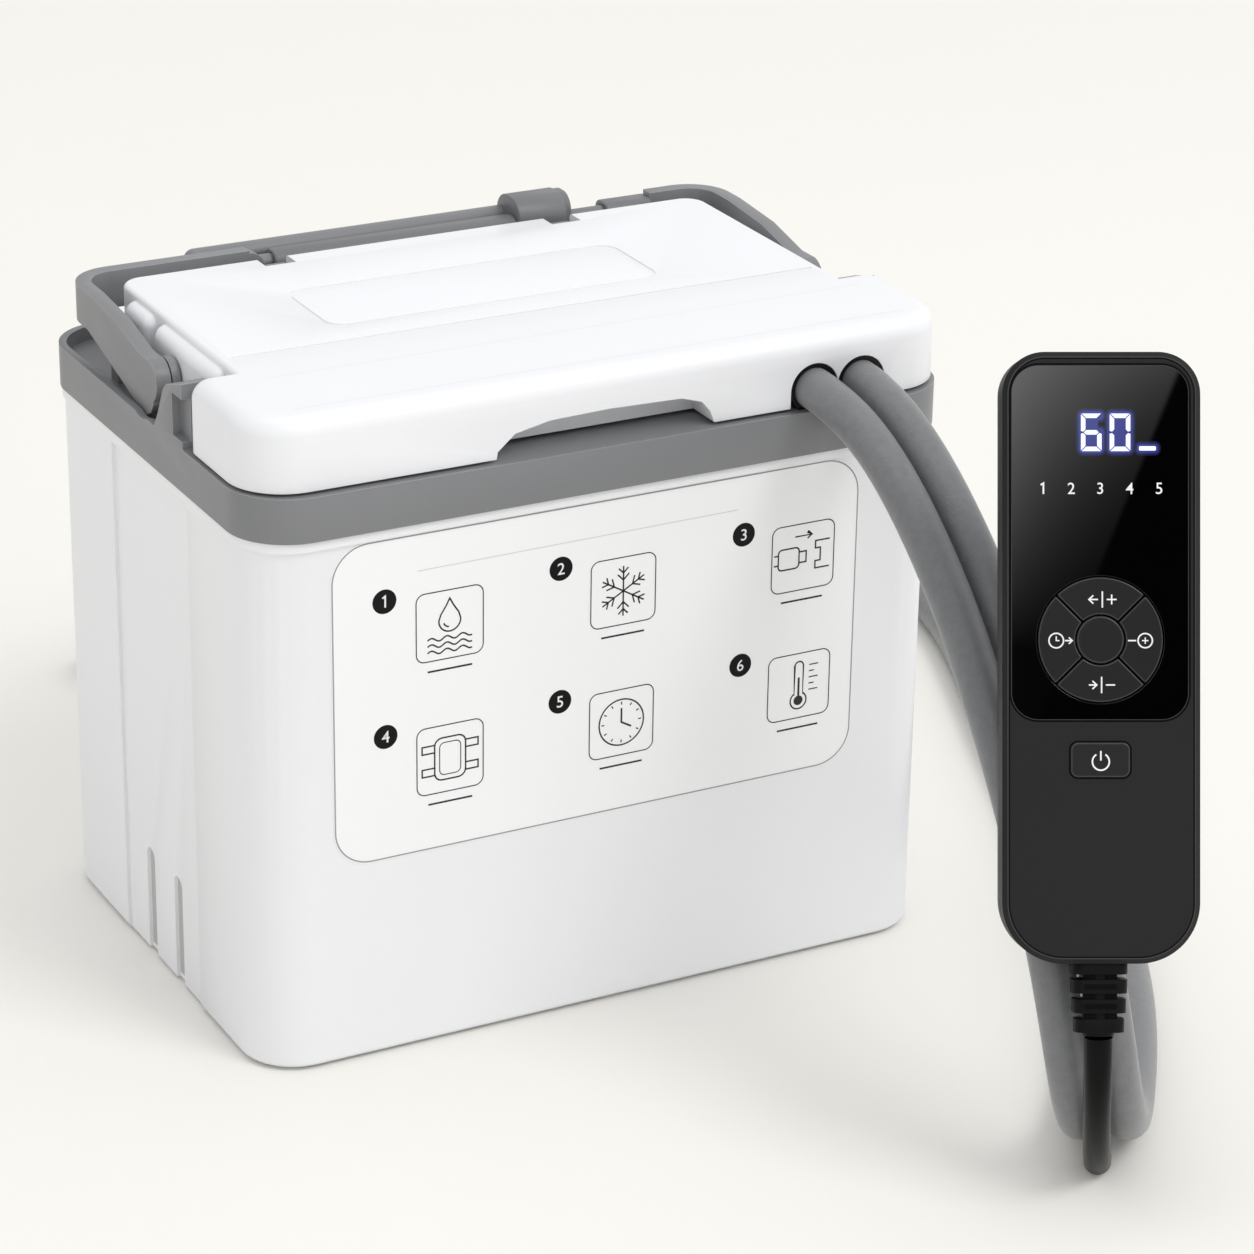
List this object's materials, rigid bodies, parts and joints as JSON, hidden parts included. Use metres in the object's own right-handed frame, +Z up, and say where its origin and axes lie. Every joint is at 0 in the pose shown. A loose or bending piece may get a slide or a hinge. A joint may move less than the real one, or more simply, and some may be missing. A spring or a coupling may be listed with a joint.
{
  "type": "hot cold therapy machine",
  "caption": "Water circulation therapy unit: white insulated box with grey rim, hinged lid and bail handle, foam-sleeved hoses and a wired hand control with buttons.",
  "frame": {"origin": "centre of the box's footprint, on the surface it stands on", "axes": "+Z up, -Y towards the front label, +X to the right seen from the front"},
  "size_m": [0.4798, 0.6339, 0.2941],
  "materials": {
    "body_white": "satin",
    "liner_white": "gloss",
    "foam": "rough",
    "rim_grey": "satin",
    "label_film": "satin",
    "black_rubber": "matte",
    "grip_grey": "matte",
    "sleeve_foam_grey": "matte",
    "black_plastic": "satin",
    "charcoal_plastic": "matte",
    "key_gloss": "gloss",
    "panel_glass": "gloss",
    "steel": "brushed",
    "board_green": "satin",
    "tube_clear": "gloss",
    "impeller_white": "satin"
  },
  "bodies": {
    "cooler": {"outer_body": "body_white", "foam_core": "foam", "inner_liner": "liner_white", "rim_band": "rim_grey", "front_label": "label_film", "feet": "black_rubber", "pump_housing": "black_plastic", "pump_motor": "steel", "pump_strainer": "black_plastic", "heater_plate": "steel", "temp_probe": "steel", "hose_port": "black_plastic", "supply_tube": "tube_clear", "return_tube": "tube_clear", "dc_socket": "black_plastic", "hinge_pins": "steel", "pivot_pins": "steel", "hose_left": "sleeve_foam_grey", "hose_left_coil": "sleeve_foam_grey", "hose_left_tail": "sleeve_foam_grey", "hose_right": "sleeve_foam_grey", "hose_right_coil": "sleeve_foam_grey", "hose_right_tail": "sleeve_foam_grey", "coil_tie": "black_plastic", "hose_couplings": "black_plastic", "hand_front": "charcoal_plastic", "hand_back": "charcoal_plastic", "hand_glass": "panel_glass", "hand_display": "panel_glass", "hand_board": "board_green", "hand_screws": "steel", "key_membrane": "black_rubber", "hand_clip": "black_plastic", "cable_relief": "black_rubber", "hand_cable": "black_rubber", "cable_joiner": "black_plastic"},
    "lid": {"lid_shell": "body_white", "lid_tray": "liner_white", "lid_foam": "foam", "lid_seal": "black_rubber"},
    "handle": {"handle_bail": "rim_grey", "handle_grip": "grip_grey", "handle_rail": "rim_grey", "handle_clasp": "grip_grey", "handle_sleeve": "grip_grey"},
    "impeller": {"pump_impeller": "impeller_white"},
    "key_up": {"key_up": "key_gloss"},
    "key_down": {"key_down": "key_gloss"},
    "key_left": {"key_left": "key_gloss"},
    "key_right": {"key_right": "key_gloss"},
    "key_centre": {"key_centre": "key_gloss"},
    "key_power": {"key_power": "charcoal_plastic"}
  },
  "joints": [
    {"name": "lid_hinge", "type": "hinge", "parent": "cooler", "child": "lid", "pos_m": [0, 0.068, 0.252], "axis": [-1, 0, 0], "range_deg": [0, 95]},
    {"name": "handle_pivot", "type": "hinge", "parent": "cooler", "child": "handle", "pos_m": [0, 0, 0.2432], "axis": [1, 0, 0], "range_deg": [0, 125]},
    {"name": "impeller_spin", "type": "hinge", "parent": "cooler", "child": "impeller", "pos_m": [0.088, -0.046, 0.036], "axis": [0, 0, 1], "continuous": true},
    {"name": "key_up_press", "type": "slide", "parent": "cooler", "child": "key_up", "axis": [0.4329, 0.8102, -0.3952], "range_m": [0, 0.0007], "stiffness_N_per_m": 1500, "springref_m": -0.0004},
    {"name": "key_down_press", "type": "slide", "parent": "cooler", "child": "key_down", "axis": [0.4329, 0.8102, -0.3952], "range_m": [0, 0.0007], "stiffness_N_per_m": 1500, "springref_m": -0.0004},
    {"name": "key_left_press", "type": "slide", "parent": "cooler", "child": "key_left", "axis": [0.4329, 0.8102, -0.3952], "range_m": [0, 0.0007], "stiffness_N_per_m": 1500, "springref_m": -0.0004},
    {"name": "key_right_press", "type": "slide", "parent": "cooler", "child": "key_right", "axis": [0.4329, 0.8102, -0.3952], "range_m": [0, 0.0007], "stiffness_N_per_m": 1500, "springref_m": -0.0004},
    {"name": "key_centre_press", "type": "slide", "parent": "cooler", "child": "key_centre", "axis": [0.4329, 0.8102, -0.3952], "range_m": [0, 0.0007], "stiffness_N_per_m": 1500, "springref_m": -0.0004},
    {"name": "key_power_press", "type": "slide", "parent": "cooler", "child": "key_power", "axis": [0.4329, 0.8102, -0.3952], "range_m": [0, 0.0007], "stiffness_N_per_m": 1500, "springref_m": -0.0004}
  ]
}
